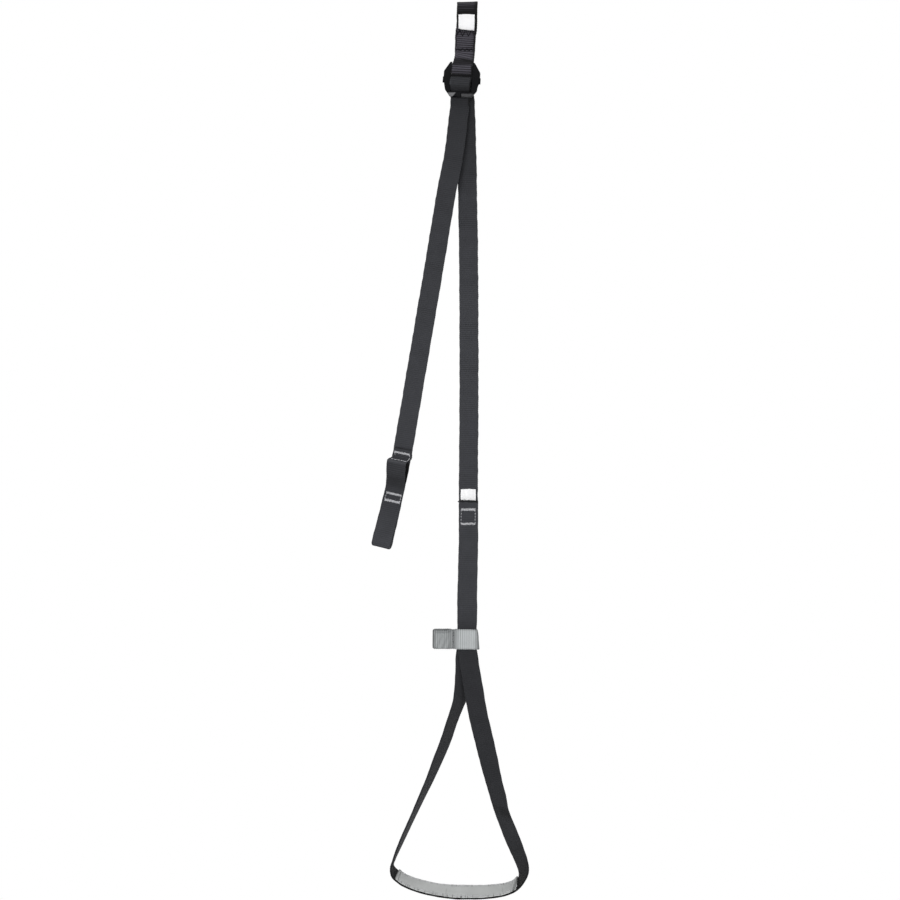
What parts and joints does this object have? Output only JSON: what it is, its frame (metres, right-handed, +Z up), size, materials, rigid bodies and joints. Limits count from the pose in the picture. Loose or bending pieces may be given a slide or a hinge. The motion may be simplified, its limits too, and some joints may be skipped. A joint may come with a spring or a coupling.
{
  "type": "adjustable webbing foot loop",
  "caption": "Adjustable webbing foot loop with a sewn anchor sling, sliding-bar adjuster, folded tail tab, elastic keeper and padded tread.",
  "frame": {"origin": "inner top of the anchor eye, where a connector bears", "axes": "+Z up along the hanging strap, +X to the viewer's right in the picture, -Y towards the viewer"},
  "size_m": [0.1523, 0.0396, 0.8753],
  "materials": {
    "black_webbing": "woven polyamide webbing, charcoal",
    "grey_webbing": "woven grey webbing strip",
    "grey_elastic": "ribbed grey elastic",
    "white_label": "woven white label, bare",
    "black_thread": "black sewing thread",
    "grey_thread": "light grey sewing thread",
    "black_metal": "black anodised"
  },
  "bodies": {
    "sling": {"anchor_sling": "black_webbing", "sling_label": "white_label", "sling_tack_upper_front": "black_thread", "sling_tack_upper_back": "black_thread", "sling_tack_lower_front": "black_thread", "sling_tack_lower_back": "black_thread"},
    "buckle": {"buckle_frame": "black_metal"},
    "bar": {"lock_bar": "black_metal", "strap_wrap": "black_webbing", "load_strand": "black_webbing", "tail_strand": "black_webbing"},
    "tail": {"tail_tab": "black_webbing", "tail_tack_upper_front": "grey_thread", "tail_tack_upper_back": "grey_thread", "tail_tack_lower_front": "grey_thread", "tail_tack_lower_back": "grey_thread"},
    "step": {"step_loop_strap": "black_webbing", "step_label": "white_label", "step_box_stitch_front": "black_thread", "step_box_stitch_back": "black_thread", "tread_strip": "grey_webbing", "tread_stitch_top": "grey_thread", "tread_stitch_under": "black_thread"},
    "keeper": {"keeper_band": "grey_elastic", "keeper_seam_front": "grey_thread", "keeper_seam_back": "grey_thread"}
  },
  "joints": [
    {"name": "sling_hinge", "type": "hinge", "parent": "sling", "child": "buckle", "pos_m": [-0.00482, -0.0014, -0.0652], "axis": [0.9921, -0.1045, -0.0694], "range_deg": [-60, 60]},
    {"name": "lock_bar_slide", "type": "slide", "parent": "buckle", "child": "bar", "axis": [0.0698, 0, 0.9976], "range_m": [-0.005, 0]},
    {"name": "strap_adjust", "type": "slide", "parent": "bar", "child": "step", "axis": [-0.0105, 0, 0.9999], "range_m": [-0.325, 0.355], "deforming": ["load_strand"]},
    {"name": "tail_slide", "type": "slide", "parent": "bar", "child": "tail", "axis": [0.157, 0.0442, 0.9866], "range_m": [-0.355, 0.325], "deforming": ["tail_strand"]},
    {"name": "keeper_slide", "type": "slide", "parent": "step", "child": "keeper", "axis": [0.0096, 0, 1], "range_m": [0, 0.095]}
  ],
  "couplings": [
    {"joint": "tail_slide", "follows": "strap_adjust", "ratio": -1}
  ]
}
